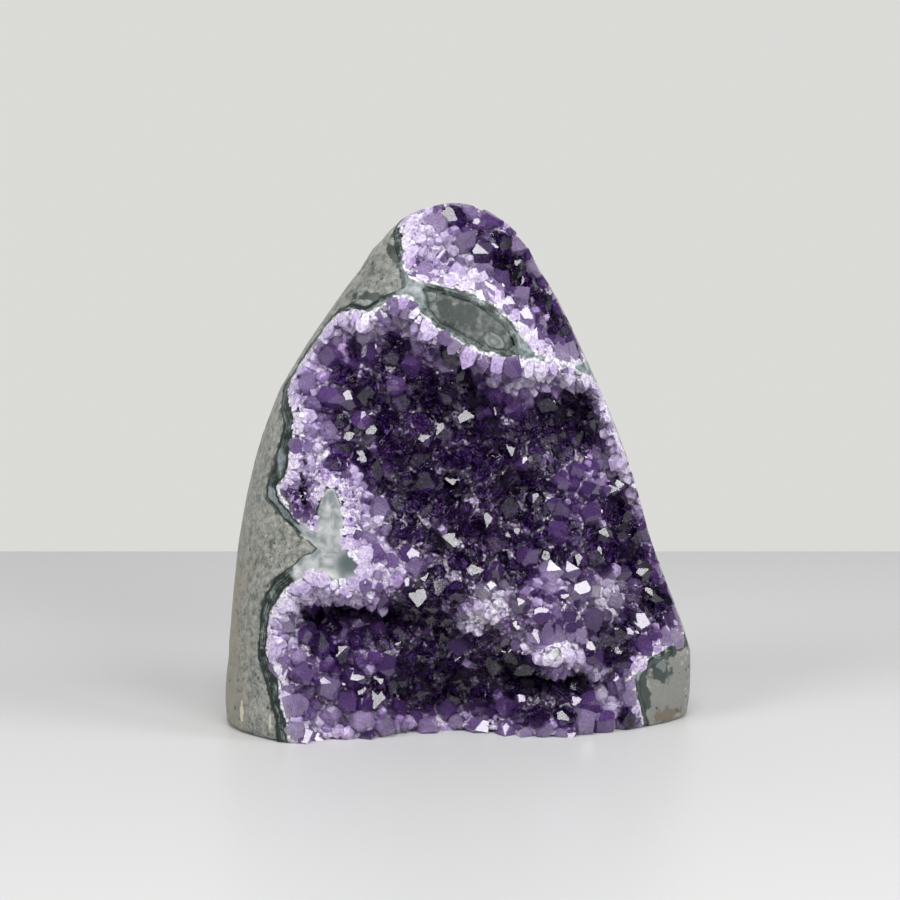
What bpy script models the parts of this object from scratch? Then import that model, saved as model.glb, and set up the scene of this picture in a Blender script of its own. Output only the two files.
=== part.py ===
"""Amethyst geode that stands on its sawn base, with the cavity facing -Y.

The host rock, its agate lining and the two crusts of amethyst points share one ground outside. Units are
metres, +Z is up, and the origin is on the base, under the middle of the bounding box.
"""

import functools
import math
import random

import bmesh
import bpy
import numpy as np
from mathutils import Matrix, Vector, noise

MM = 0.001

# Driving dimensions
HEIGHT = 140 * MM
LINING = 2.2 * MM  # agate, measured square to the wall of the cavity, where it is thinnest
CRUST = 4.4 * MM  # amethyst, from its roots to the tips of the small points
GAP = 0.3 * MM  # clearance between neighbouring pieces
RIM_DEPTH = 8.0 * MM  # from the ground face back to the roots of the crystals, where nothing else shapes it

# Outlines of the ground outside, as (height, coordinate) in millimetres
LEFT_SIDE = [(0, -62.3), (5, -63.1), (18, -62.4), (36, -60.9), (58, -58.0), (71, -54.9), (86, -50.2),
             (97, -44.1), (109, -36.0), (120, -28.1), (130, -20.5), (136, -14.4), (139, -7.3), (140, -2.6)]
RIGHT_SIDE = [(0, 62.8), (7, 63.7), (18, 63.7), (27, 60.8), (44, 54.0), (70, 46.6), (97, 35.2), (121, 22.8),
              (130, 16.8), (133.5, 14.4), (136.5, 11.0), (139, 4.8), (140, 1.0)]
FRONT_SIDE = [(0, -33.0), (25, -31.4), (60, -27.6), (95, -21.5), (125, -13.0), (136, -7.0), (139, -3.2),
              (140, -1.0)]
BACK_SIDE = [(0, 33.0), (40, 33.0), (75, 30.5), (105, 25.0), (125, 18.0), (136, 9.5), (139, 4.0), (140, 2.0)]

# Flats ground around the outside at the base: (direction they face in degrees from +X, distance from the
# middle in millimetres). The creases between them soften with height.
FLATS = [(-87, 31.4), (-56, 37.8), (-30, 56.0), (20, 60.4), (63, 41.5), (90, 32.6), (118, 45.4), (163, 60.6),
         (196, 65.6), (228, 53.9)]
CREASE_SHARPNESS = (16.0, 2.6)  # at the base and at the top
RING_POINTS = 44
RING_HEIGHTS = [0, 2, 8, 18, 27, 36, 48, 62, 76, 90, 103, 114, 123, 130, 135, 138, 139.3, 140]

# Pockets of the cavity and swellings of its wall: (x, z, half width, half height, turn in degrees, depth),
# in millimetres. A depth above zero sinks the wall into the rock and one below zero brings it forward.
POCKETS = {
    "main": (4, 74, 34, 27, -30, 8.5),
    "main_right": (33, 82, 9, 12, 10, 8.5),
    "main_centre": (14, 58, 22, 12, 0, 3.0),
    "upper": (14, 124, 12, 10, -35, 3.5),
    "left_nook": (-41, 72, 5, 11, 0, 3.0),
    "right_flank": (51, 52, 7, 42, 20, 8.0),
    "cave": (-29, 32.5, 16, 4.6, -2, 13.0),
    "lower_hollow": (-3, 8, 20, 17, 0, 13.0),
    "slot": (27, 13.5, 12, 3.4, -12, 15.0),
    "ledge": (-24, 41.5, 20, 4.4, -3, -5.5),
    "mound": (25, 30, 19, 7, -6, -7.0),
    "lower_right": (30, 3, 9, 6, 0, -3.5),
}
# Places where the wall comes right up to the outside and is ground through: (x, z, half width, half height,
# turn in degrees, height above the outside before grinding), in millimetres.
OUTCROPS = {
    "chalcedony_drop": (-33, 59.5, 4.8, 13, 4, 2.7),
    "chalcedony_patch": (-30.5, 47.5, 8.6, 5.6, -8, 2.2),
    "flower_spot": (25.5, 23, 3.6, 3.2, 0, 1.8),
    "right_rim": (52, 82, 11, 15, 20, 9.0),
    "right_corner": (58, 8, 11.5, 15, 14, 12.0),
    "upper_left_rock": (-24, 122.5, 13.5, 10.0, 50, 10.0),
    "upper_left_tip": (-17, 120.0, 6.5, 4.2, -20, 6.0),
}
# The ridge between the two crusts runs down to the right; it is ground through, widest at its oval crown.
RIDGE = [(-11.5, 118.4), (2, 111), (17, 101.5), (38, 94)]
RIDGE_HEIGHT = 1.1 * MM
RIDGE_HALF_WIDTH = 2.9 * MM
CROWN = (3.2, 110.0)  # x, z
CROWN_REACH = 15.5 * MM
CROWN_HEIGHT = 9.0 * MM
CROWN_HALF_WIDTH = 8.5 * MM

# Long, low waves that keep the wall from being smooth
WAVE_SEED = 3
WAVE_COUNT = 9
WAVE_LENGTHS = (11 * MM, 26 * MM)
WAVE_HEIGHT = 0.45 * MM

# Wall that closes the cavity on its left, as (height, x) in millimetres: the rock is whole beyond it.
LEFT_WALL = [(0, -43.2), (9, -44.3), (17, -46.2), (24, -49.3), (31, -48.5), (36, -46), (42, -43.0),
             (47.5, -36.8), (52, -35.8), (57, -38.2), (61, -42.6), (65, -46.0), (70, -43.6), (77, -43.0),
             (86, -42.0), (91, -44.8), (99, -40.6), (105, -36.6), (110, -33.0), (120, -26), (140, -12)]
LEFT_WALL_HEIGHT = 13 * MM
LEFT_WALL_WIDTH = 5.5 * MM
# There the agate is thicker, most of all in its lenses: (x, z, half width, half height, turn in degrees, how
# much thicker), in millimetres.
LINING_LEFT = 1.7 * MM
LINING_LEFT_REACH = 9 * MM
LINING_LEFT_TOP = 97 * MM
LENSES = [(-45, 85, 4, 5, 10, 1.0), (-48, 67, 6, 5, 0, 1.4), (-46, 42, 6, 4, 20, 2.4), (-49, 17, 4, 5, 0, 1.3),
          (-51, 27, 4, 4, 0, -1.0), (-41, 52, 4, 4, 0, -1.0)]

GRID_STEP = 2.3 * MM
SHEET_TRIANGLES = 1270
SHEET_HALF_WIDTH = 70 * MM
SHEET_LOW = -7 * MM
SHEET_HIGH = 147 * MM
TABLE_TOP = 137 * MM  # the front of the outside is tabulated up to this height
TABLE_ROWS, TABLE_COLUMNS = 70, 120
FRONT_SHARE = 0.90  # of the half width, over which the wall follows the front of the outside
FRONT_LIMIT = -60 * MM  # everything in front of the cavity is cut away as far as this
RELIEF = 0.9 * MM  # unevenness of the crust between its large points
RELIEF_SIZE = 9 * MM

# Large points that stand out of the crust
POINT_SEED = 7
POINT_COUNT = 30
POINT_SPACING = 11.0 * MM
POINT_WIDTHS = (4.4 * MM, 6.6 * MM)
POINT_MARGIN = 7.0 * MM  # kept clear between a large point and the outline


def at_height(outline, z):
    """Coordinate of an outline at each height z, on a smooth curve through its points."""
    heights, values = (np.array(column, float) * MM for column in zip(*outline))
    slopes = np.gradient(values, heights)
    z = np.clip(z, heights[0], heights[-1])
    i = np.clip(np.searchsorted(heights, z) - 1, 0, len(heights) - 2)
    step = heights[i + 1] - heights[i]
    t = (z - heights[i]) / step
    rise = values[i + 1] - values[i]
    bend = (slopes[i] * step - rise) * (1 - t) - (slopes[i + 1] * step - rise) * t
    return values[i] + rise * t + t * (1 - t) * bend


def ring(z, count):
    """Points of the ground outside at one height, counterclockwise from the back."""
    turn = np.linspace(0, 2 * math.pi, count, endpoint=False) + math.pi / 2
    way = np.stack([np.cos(turn), np.sin(turn)])
    faces = [math.radians(direction) for direction, _ in FLATS]
    reach = np.array([distance * MM for _, distance in FLATS])
    toward = np.clip(np.stack([np.cos(faces), np.sin(faces)]).T @ way, 0, None) / reach[:, None]
    low, high = CREASE_SHARPNESS
    sharpness = low + (high - low) * min(1.0, z / HEIGHT) ** 0.6
    unit = way * (toward**sharpness).sum(axis=0) ** (-1 / sharpness)
    lowest, highest = unit.min(axis=1, keepdims=True), unit.max(axis=1, keepdims=True)
    unit = (unit - lowest) / (highest - lowest)
    sides = (LEFT_SIDE, RIGHT_SIDE, FRONT_SIDE, BACK_SIDE)
    left, right, front, back = (float(at_height(side, z)) for side in sides)
    return np.stack([left + (right - left) * unit[0], front + (back - front) * unit[1]], axis=1)


@functools.cache
def front_table():
    """How far forward the ground outside lies, in rows by height and columns by x."""
    table = []
    for height in np.linspace(0, TABLE_TOP, TABLE_ROWS):
        points = ring(height, 240)
        middle, half = np.mean(points[:, 0]), np.ptp(points[:, 0]) / 2
        front = points[points[:, 1] < np.mean(points[:, 1])]
        front = front[np.argsort(front[:, 0])]
        columns = np.linspace(-SHEET_HALF_WIDTH, SHEET_HALF_WIDTH, TABLE_COLUMNS)
        inside = np.clip(columns, middle - FRONT_SHARE * half, middle + FRONT_SHARE * half)
        table.append(np.interp(inside, front[:, 0], front[:, 1]))
    return np.array(table)


def front_of_outside(x, z):
    """How far forward the ground outside lies at each (x, z), carried on level past its flanks."""
    table = front_table()
    row = np.clip(z / TABLE_TOP, 0, 1) * (TABLE_ROWS - 1.001)
    column = np.clip(x / SHEET_HALF_WIDTH / 2 + 0.5, 0, 1) * (TABLE_COLUMNS - 1.001)
    i, j = row.astype(int), column.astype(int)
    u, v = row - i, column - j
    low = table[i, j] * (1 - v) + table[i, j + 1] * v
    high = table[i + 1, j] * (1 - v) + table[i + 1, j + 1] * v
    return low * (1 - u) + high * u


def spread(x, z, centre_x, centre_z, half_width, half_height, turn):
    """Distance from the middle of an oval, as a share of its half size in that direction."""
    angle = math.radians(turn)
    along = (x - centre_x * MM) * math.cos(angle) + (z - centre_z * MM) * math.sin(angle)
    across = (z - centre_z * MM) * math.cos(angle) - (x - centre_x * MM) * math.sin(angle)
    return np.hypot(along / (half_width * MM), across / (half_height * MM))


def distance_to_ridge(x, z):
    nearest = np.full_like(x, np.inf)
    for start, end in zip(RIDGE, RIDGE[1:]):
        start, end = np.array(start) * MM, np.array(end) * MM
        run = end - start
        t = np.clip(((x - start[0]) * run[0] + (z - start[1]) * run[1]) / (run @ run), 0, 1)
        nearest = np.minimum(nearest, np.hypot(x - start[0] - t * run[0], z - start[1] - t * run[1]))
    return nearest


def waves(x, z):
    rng = random.Random(WAVE_SEED)
    total = np.zeros_like(x)
    for _ in range(WAVE_COUNT):
        pace = 2 * math.pi / rng.uniform(*WAVE_LENGTHS)
        heading, phase = rng.uniform(0, 2 * math.pi), rng.uniform(0, 2 * math.pi)
        total += np.sin(pace * (x * math.cos(heading) + z * math.sin(heading)) + phase)
    return WAVE_HEIGHT * total


def risen(depth, share, height):
    """The depth, brought up to a height above the outside where share is 1."""
    return depth * (1 - share) - height * share


def wall_depth(x, z):
    """Y of the surface that the crystals are rooted on."""
    depth = RIM_DEPTH + waves(x, z)
    for *oval, sink in POCKETS.values():
        depth = depth + sink * MM * np.exp(-(spread(x, z, *oval) ** 2))
    for *oval, height in OUTCROPS.values():
        depth = risen(depth, np.exp(-(spread(x, z, *oval) ** 3)), height * MM)
    from_crown = np.hypot(x - CROWN[0] * MM, z - CROWN[1] * MM)
    crown = np.exp(-((from_crown / CROWN_REACH) ** 4))
    half_width = RIDGE_HALF_WIDTH + (CROWN_HALF_WIDTH - RIDGE_HALF_WIDTH) * crown
    height = RIDGE_HEIGHT + (CROWN_HEIGHT - RIDGE_HEIGHT) * crown
    depth = risen(depth, np.exp(-((distance_to_ridge(x, z) / half_width) ** 3)), height)
    beyond = (at_height(LEFT_WALL, z) - x) / LEFT_WALL_WIDTH
    depth = risen(depth, 1 / (1 + np.exp(-np.clip(4 * beyond - 1, -40, 40))), LEFT_WALL_HEIGHT)
    return front_of_outside(x, z) + depth


def lining(x, z):
    """Thickness of the agate at each (x, z)."""
    beside = (x - at_height(LEFT_WALL, z)) / LINING_LEFT_REACH
    under = 1 / (1 + np.exp(np.clip((z - LINING_LEFT_TOP) / (3 * MM), -40, 40)))
    thickness = LINING + LINING_LEFT * np.exp(-(beside**2)) * under
    for *oval, more in LENSES:
        thickness = thickness + more * MM * np.exp(-(spread(x, z, *oval) ** 2))
    return thickness


def offset_depth(x, z, distance):
    """Y of the surface at a distance from the wall: in front of it below zero, inside the rock above zero."""
    reach, side = np.abs(distance), np.sign(distance)
    result = side * wall_depth(x, z) + reach
    for share in (0.35, 0.65, 0.85, 0.97):
        for turn in np.linspace(0, 2 * math.pi, 12, endpoint=False):
            shifted = wall_depth(x + reach * share * math.cos(turn), z + reach * share * math.sin(turn))
            result = np.maximum(result, side * shifted + reach * math.sqrt(1 - share**2))
    return side * result


def new_object(name, mesh, collection):
    piece = bpy.data.objects.new(name, mesh)
    collection.objects.link(piece)
    return piece


def new_cutter(name, mesh, collection):
    piece = new_object(name, mesh, collection)
    piece.hide_render = True
    piece.display_type = "WIRE"
    return piece


def mesh_of(bm, name):
    bmesh.ops.recalc_face_normals(bm, faces=bm.faces)
    mesh = bpy.data.meshes.new(name)
    bm.to_mesh(mesh)
    bm.free()
    return mesh


def as_modified(piece):
    """A new mesh of the object with its modifiers applied."""
    graph = bpy.context.evaluated_depsgraph_get()
    return bpy.data.meshes.new_from_object(piece.evaluated_get(graph))


def outside_mesh():
    """The ground outside: a loft through level sections, flat underneath and rounded over at the top."""
    bm = bmesh.new()
    rings = []
    for height in RING_HEIGHTS:
        z = min(height * MM, HEIGHT)
        rings.append([bm.verts.new((x, y, z)) for x, y in ring(z, RING_POINTS)])
    for lower, upper in zip(rings, rings[1:]):
        for i in range(RING_POINTS):
            j = (i + 1) % RING_POINTS
            bm.faces.new((lower[i], lower[j], upper[j], upper[i]))
    bm.faces.new(rings[0])
    bm.faces.new(rings[-1])
    bmesh.ops.triangulate(bm, faces=[face for face in bm.faces if len(face.verts) > 4])
    return mesh_of(bm, "outside")


def wall_sheet(cutters):
    """The wall of the cavity as an open sheet, with small triangles only where it bends."""
    columns = round(2 * SHEET_HALF_WIDTH / GRID_STEP)
    rows = round((SHEET_HIGH - SHEET_LOW) / GRID_STEP)
    bm = bmesh.new()
    bmesh.ops.create_grid(bm, x_segments=columns, y_segments=rows, size=0.5)
    x = np.array([v.co.x for v in bm.verts]) * 2 * SHEET_HALF_WIDTH
    z = (np.array([v.co.y for v in bm.verts]) + 0.5) * (SHEET_HIGH - SHEET_LOW) + SHEET_LOW
    z = np.round(z, 7)
    for vert, place in zip(bm.verts, zip(x, wall_depth(x, z), z)):
        vert.co = place
    bmesh.ops.triangulate(bm, faces=bm.faces)
    sheet = new_cutter("wall_sheet", mesh_of(bm, "wall_sheet"), cutters)
    thin = sheet.modifiers.new("Thin out", "DECIMATE")
    thin.ratio = SHEET_TRIANGLES / (2 * columns * rows)
    simple = as_modified(sheet)
    bpy.data.objects.remove(sheet)
    return simple


def moved_sheet(sheet, distance, uneven=0.0, under_agate=False):
    """Corners of the sheet, moved to lie at a distance from the wall or, under the agate, from its back."""
    x = np.array([v.co.x for v in sheet.vertices])
    z = np.array([v.co.z for v in sheet.vertices])
    if under_agate:
        distance = lining(x, z) + distance
    y = offset_depth(x, z, distance) if np.any(distance) else wall_depth(x, z)
    if uneven:
        y = y + [uneven * noise.noise(Vector(place) / RELIEF_SIZE) for place in zip(x, y, z)]
    return np.stack([x, y, z], axis=1)


def slab(name, sheet, front, back):
    """Closed solid between two positions of the same sheet."""
    bm = bmesh.new()
    layers = [[bm.verts.new(place) for place in places] for places in (front, back)]
    for polygon in sheet.polygons:
        for layer in layers:
            bm.faces.new([layer[i] for i in polygon.vertices])
    bm.verts.index_update()
    count = len(sheet.vertices)
    for edge in [edge for edge in bm.edges if edge.is_boundary and edge.verts[0].index < count]:
        i, j = (vert.index for vert in edge.verts)
        bm.faces.new((layers[0][i], layers[0][j], layers[1][j], layers[1][i]))
    return mesh_of(bm, name)


def in_front_of(name, sheet, back):
    """Closed solid that fills everything in front of a sheet."""
    front = back.copy()
    front[:, 1] = FRONT_LIMIT
    return slab(name, sheet, front, back)


def boolean(piece, operation, other):
    step = piece.modifiers.new(operation.title(), "BOOLEAN")
    step.operation = operation
    step.object = other
    step.solver = "EXACT"


def six_sided_point(width, length, tilt):
    """Quartz point along +Z: a hexagonal prism under a six-faced tip, made from two cones."""
    bm = bmesh.new()
    bmesh.ops.create_cone(bm, cap_ends=True, segments=6, radius1=width / 2, radius2=width / 2, depth=length)
    top = [face for face in bm.faces if face.normal.z > 0.9]
    bmesh.ops.poke(bm, faces=top)
    tip = max(bm.verts, key=lambda vert: vert.co.z - vert.co.xy.length)
    tip.co = (tilt * width, -tilt * width, length / 2 + 0.55 * width)
    return bm


def large_points(cutters):
    """Large crystals scattered over the crust, none touching another."""
    rng = random.Random(POINT_SEED)
    bm = bmesh.new()
    placed = []
    while len(placed) < POINT_COUNT:
        z = rng.uniform(POINT_MARGIN, HEIGHT - 2 * POINT_MARGIN)
        left, right = (float(at_height(side, z)) for side in (LEFT_SIDE, RIGHT_SIDE))
        x = rng.uniform(left + POINT_MARGIN, right - POINT_MARGIN)
        here = np.array([x, x + MM, x]), np.array([z, z, z + MM])
        y, y_right, y_above = offset_depth(*here, -CRUST)
        covered = y > front_of_outside(np.array([x]), np.array([z]))[0] + MM
        crowded = any(math.hypot(x - px, z - pz) < POINT_SPACING for px, pz in placed)
        if crowded or not covered:
            continue
        placed.append((x, z))
        normal = Vector(((y_right - y) / MM, -1.0, (y_above - y) / MM)).normalized()
        normal = (normal + Vector([rng.uniform(-0.3, 0.3) for _ in range(3)])).normalized()
        width = rng.uniform(*POINT_WIDTHS)
        length = CRUST * 0.5 + 0.7 * width
        point = six_sided_point(width, length, rng.uniform(-0.08, 0.08))
        turn = Matrix.Rotation(rng.uniform(0, math.pi), 4, "Z")
        lean = normal.to_track_quat("Z", "Y").to_matrix().to_4x4()
        place = Matrix.Translation(Vector((x, y, z)) + normal * (0.25 * width - CRUST * 0.25))
        point.transform(place @ lean @ turn)
        part = bpy.data.meshes.new("point")
        point.to_mesh(part)
        point.free()
        bm.from_mesh(part)
        bpy.data.meshes.remove(part)
    return new_cutter("large_points", mesh_of(bm, "large_points"), cutters)


def above_ridge(cutters):
    """Helper solid over the ridge, which parts the upper crust from the main one."""
    corners = [(-80, 155), (-80, 144)] + RIDGE + [(80, 78), (80, 155)]
    bm = bmesh.new()
    outline = [bm.verts.new((x * MM, FRONT_LIMIT, z * MM)) for x, z in corners]
    face = bm.faces.new(outline)
    made = bmesh.ops.extrude_face_region(bm, geom=[face])["geom"]
    moved = [item for item in made if isinstance(item, bmesh.types.BMVert)]
    bmesh.ops.translate(bm, verts=moved, vec=(0, -2 * FRONT_LIMIT, 0))
    return new_cutter("above_ridge", mesh_of(bm, "above_ridge"), cutters)


def principled(name, colour, roughness, **inputs):
    material = bpy.data.materials.new(name)
    material.use_nodes = True
    shader = material.node_tree.nodes["Principled BSDF"]
    shader.inputs["Base Color"].default_value = (*colour, 1.0)
    shader.inputs["Roughness"].default_value = roughness
    shader.inputs["Metallic"].default_value = 0.0
    for label, value in inputs.items():
        shader.inputs[label.replace("_", " ")].default_value = value
    return material


def finished(name, piece, material, parts):
    """The piece with its cuts applied, as a named object of the part."""
    mesh = as_modified(piece)
    mesh.name = name
    mesh.materials.clear()
    mesh.materials.append(material)
    mesh.set_sharp_from_angle(angle=math.radians(35))
    return new_object(name, mesh, parts)


def build_rock(sheet, outside, cutters, parts):
    """Host rock: everything behind the agate, with the ridges that the grinding reached."""
    hollow = in_front_of("hollow", sheet, moved_sheet(sheet, GAP, under_agate=True))
    rock = new_cutter("rock_blank", outside.data.copy(), cutters)
    boolean(rock, "DIFFERENCE", new_cutter("hollow", hollow, cutters))
    return finished("basalt_matrix", rock, principled("basalt", (0.22, 0.225, 0.20), 0.45), parts)


def build_agate(sheet, outside, cutters, parts):
    """Agate lining between the rock and the crystals."""
    layer = slab("lining", sheet, moved_sheet(sheet, 0.0), moved_sheet(sheet, 0.0, under_agate=True))
    agate = new_cutter("lining_blank", layer, cutters)
    boolean(agate, "INTERSECT", outside)
    return finished("agate_lining", agate, principled("agate", (0.10, 0.13, 0.13), 0.25), parts)


def build_crusts(sheet, outside, cutters, parts):
    """The two crusts of amethyst, one on each side of the ridge."""
    top = moved_sheet(sheet, -CRUST, RELIEF)
    layer = slab("crust", sheet, top, moved_sheet(sheet, -GAP))
    points = large_points(cutters)
    upper_side = above_ridge(cutters)
    amethyst = principled("amethyst", (0.10, 0.05, 0.19), 0.08, IOR=1.544, Transmission_Weight=0.8)
    for name, operation in (("amethyst_main", "DIFFERENCE"), ("amethyst_upper", "INTERSECT")):
        crust = new_cutter(name + "_blank", layer.copy(), cutters)
        boolean(crust, "UNION", points)
        boolean(crust, "INTERSECT", outside)
        boolean(crust, operation, upper_side)
        finished(name, crust, amethyst, parts)


def main():
    for old in list(bpy.data.objects):
        bpy.data.objects.remove(old)
    parts = bpy.data.collections.new("amethyst_geode")
    cutters = bpy.data.collections.new("cutters")
    for collection in (parts, cutters):
        bpy.context.scene.collection.children.link(collection)
    outside = new_cutter("outside", outside_mesh(), cutters)
    sheet = wall_sheet(cutters)
    build_rock(sheet, outside, cutters, parts)
    build_agate(sheet, outside, cutters, parts)
    build_crusts(sheet, outside, cutters, parts)


main()
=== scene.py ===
"""Amethyst geode standing on its sawn base, with the open cavity facing -Y.

The pieces are finished round the shared frame: the ground basalt, the agate that lines it, the milky
quartz that the crystals root in, and the crystals themselves, palest at the rims and deep in the pockets.
"""

import math

import bmesh
import bpy
import numpy as np
from mathutils import Matrix, Vector, geometry, kdtree, noise
from mathutils.bvhtree import BVHTree


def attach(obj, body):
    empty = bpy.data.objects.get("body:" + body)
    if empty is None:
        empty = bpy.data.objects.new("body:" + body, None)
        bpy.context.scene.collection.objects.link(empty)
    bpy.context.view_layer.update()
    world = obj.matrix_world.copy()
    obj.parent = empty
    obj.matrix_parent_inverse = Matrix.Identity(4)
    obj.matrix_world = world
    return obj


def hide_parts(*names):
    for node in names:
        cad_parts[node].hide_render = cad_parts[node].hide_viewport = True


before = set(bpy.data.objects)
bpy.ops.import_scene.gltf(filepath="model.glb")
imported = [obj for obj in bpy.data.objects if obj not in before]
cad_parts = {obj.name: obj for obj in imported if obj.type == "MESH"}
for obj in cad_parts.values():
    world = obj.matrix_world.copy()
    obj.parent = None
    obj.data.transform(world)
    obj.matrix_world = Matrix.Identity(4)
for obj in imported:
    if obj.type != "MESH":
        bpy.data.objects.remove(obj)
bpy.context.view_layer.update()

# ---- The ground outside ----
# The block was shaped on a belt, so its outside is one smooth skin that runs over rock, agate and cut
# crystals alike. Level sections of the shared frame give that skin, and every piece is finished to it.
MM = 0.001
SKIN_POINTS = 168
SKIN_HEIGHTS = np.array([0, 1, 3, *range(6, 126, 4), 127.5, 130, 132.5, 134.5, 136.5, 138, 139, 139.7]) * MM
LOWEST_SECTION = 0.02 * MM
TOP = 140 * MM
BASE_ROUNDING = [(0.0, 0.9), (0.35, 0.35), (1.0, 0.0)]  # height above the base and how far the skin is in, mm


def triangles_of(*nodes):
    """Corners of every triangle of these nodes, as an array of (triangle, corner, axis)."""
    found = []
    for node in nodes:
        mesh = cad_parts[node].data
        mesh.calc_loop_triangles()
        points = np.empty(len(mesh.vertices) * 3)
        mesh.vertices.foreach_get("co", points)
        corners = np.empty(len(mesh.loop_triangles) * 3, int)
        mesh.loop_triangles.foreach_get("vertices", corners)
        found.append(points.reshape(-1, 3)[corners.reshape(-1, 3)])
    return np.concatenate(found)


def section(triangles, height):
    """Hull of what the triangles cut at this height, as points in order."""
    cut = []
    for first, second in ((0, 1), (1, 2), (2, 0)):
        a, b = triangles[:, first], triangles[:, second]
        crosses = (a[:, 2] - height) * (b[:, 2] - height) < 0
        a, b = a[crosses], b[crosses]
        share = (height - a[:, 2:]) / (b[:, 2:] - a[:, 2:])
        cut.append((a + (b - a) * share)[:, :2])
    points = np.concatenate(cut)
    return points[geometry.convex_hull_2d([tuple(p) for p in points])]


def ring(outline, middle, turns):
    """Distance from the middle to the outline in each of these directions."""
    ends = np.roll(outline, -1, axis=0)
    along = ends - outline
    across = np.stack([along[:, 1], -along[:, 0]], 1)
    across /= np.maximum(np.linalg.norm(across, axis=1, keepdims=True), 1e-9)
    offset = ((outline - middle) * across).sum(1)
    across, offset = across * np.sign(offset)[:, None], np.abs(offset)
    facing = np.stack([np.cos(turns), np.sin(turns)], 1) @ across.T
    return np.where(facing > 1e-6, offset / np.maximum(facing, 1e-6), np.inf).min(1)


def softened(values, axis, wraps):
    """Values averaged with their neighbours along one axis."""
    if wraps:
        return 0.5 * values + 0.25 * (np.roll(values, 1, axis) + np.roll(values, -1, axis))
    result = values.copy()
    result[2:-2] = 0.5 * values[2:-2] + 0.25 * (values[1:-3] + values[3:-1])
    return result


def skin_tree():
    """The ground outside as a closed surface that points can be measured from."""
    triangles = triangles_of(*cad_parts)
    turns = np.linspace(0, 2 * math.pi, SKIN_POINTS, endpoint=False)
    middles, reaches = [], []
    for height in SKIN_HEIGHTS:
        outline = section(triangles, max(height, LOWEST_SECTION))
        middles.append((outline.min(0) + outline.max(0)) / 2)
        reaches.append(ring(outline, middles[-1], turns))
    reaches = np.array(reaches)
    reaches = softened(reaches, 1, True)
    reaches = softened(reaches, 0, False)
    points = []
    for height, middle, reach in zip(SKIN_HEIGHTS, middles, reaches):
        inset = np.interp(height / MM, *zip(*BASE_ROUNDING)) * MM
        x = middle[0] + (reach - inset) * np.cos(turns)
        y = middle[1] + (reach - inset) * np.sin(turns)
        points += list(zip(x, y, np.full(SKIN_POINTS, height)))
    faces = []
    for level in range(len(SKIN_HEIGHTS) - 1):
        for step in range(SKIN_POINTS):
            a = level * SKIN_POINTS + step
            b = level * SKIN_POINTS + (step + 1) % SKIN_POINTS
            faces.append((a, b, b + SKIN_POINTS, a + SKIN_POINTS))
    top = len(points)
    points.append((*middles[-1], TOP))
    points.append((*middles[0], 0.0))
    last = (len(SKIN_HEIGHTS) - 1) * SKIN_POINTS
    for step in range(SKIN_POINTS):
        after = (step + 1) % SKIN_POINTS
        faces.append((last + step, last + after, top))
        faces.append((after, step, top + 1))
    return BVHTree.FromPolygons(points, faces)


skin = skin_tree()


def skin_at(point):
    """Nearest point of the ground outside, its normal, and how deep inside the skin this point lies."""
    near, normal, _, _ = skin.find_nearest(point)
    return near, normal, (near - point).dot(normal)


# ---- Basalt host rock ----
# Fine grey-green basalt with small filled pits. The front and the flanks are ground smooth, the back is
# left coarser, and the base is sawn flat so that the piece stands.
ROCK_EDGE = 1.7 * MM  # longest edge of its ground faces
SKIN_TOLERANCE = 0.6 * MM  # how near the skin a face that was ground lies
GROUND_FACING = 0.8  # cosine of the widest angle between such a face and the skin
MOST_SPLITS = 9
CREASE = math.radians(40)


def merged(*nodes):
    """One bmesh of these nodes, with the points that their faces share made one."""
    bm = bmesh.new()
    for node in nodes:
        bm.from_mesh(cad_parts[node].data)
    bmesh.ops.remove_doubles(bm, verts=bm.verts, dist=1e-6)
    bmesh.ops.triangulate(bm, faces=bm.faces)
    bm.normal_update()
    return bm


def mark_ground(bm):
    """Marks the faces that the belt has ground, by their material index, which their pieces inherit."""
    for face in bm.faces:
        _, normal, depth = skin_at(face.calc_center_median())
        face.material_index = int(abs(depth) < SKIN_TOLERANCE and face.normal.dot(normal) > GROUND_FACING)


def refined(bm, longest, mark=None):
    """Splits the edges of the faces with this mark, or of all faces, until none is over this length."""
    for _ in range(MOST_SPLITS):
        edges = {e for f in bm.faces if mark in (None, f.material_index) for e in f.edges
                 if e.calc_length() > longest}
        if not edges:
            return
        bmesh.ops.subdivide_edges(bm, edges=list(edges), cuts=1, use_grid_fill=False)
        bmesh.ops.triangulate(bm, faces=[f for f in bm.faces if len(f.verts) > 3])


def laid_on_skin(bm, relief):
    """Moves the ground faces' points onto the smooth skin, then in by the relief at each point."""
    for vert in {v for f in bm.faces if f.material_index for v in f.verts}:
        near, normal, _ = skin_at(vert.co)
        vert.co = near - normal * relief(near, normal)
    for face in bm.faces:
        face.material_index = 0


def hills(point, length, seed):
    """Smooth noise between -1 and 1 with hills of this length."""
    return noise.noise(point / length + Vector((seed, 2.7 * seed, -1.3 * seed)))


def rock_relief(near, normal):
    """How far the ground rock lies under the skin: almost nothing in front, and a rolling surface behind."""
    behind = min(max((normal.y + 0.1) / 0.6, 0), 1) * (1 if near.z > 2 * MM else 0)
    rolling = 0.5 + 0.5 * hills(near, 14 * MM, 1.0)
    fine = 0.5 + 0.5 * hills(near, 4 * MM, 2.0)
    return MM * (0.05 * fine + behind * (0.7 * rolling + 0.18 * fine))


def piece_from(bm, name):
    """Makes a rigid piece of a bmesh and frees the bmesh."""
    mesh = bpy.data.meshes.new(name)
    bm.to_mesh(mesh)
    bm.free()
    piece = bpy.data.objects.new(name, mesh)
    bpy.context.scene.collection.objects.link(piece)
    return piece


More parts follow.
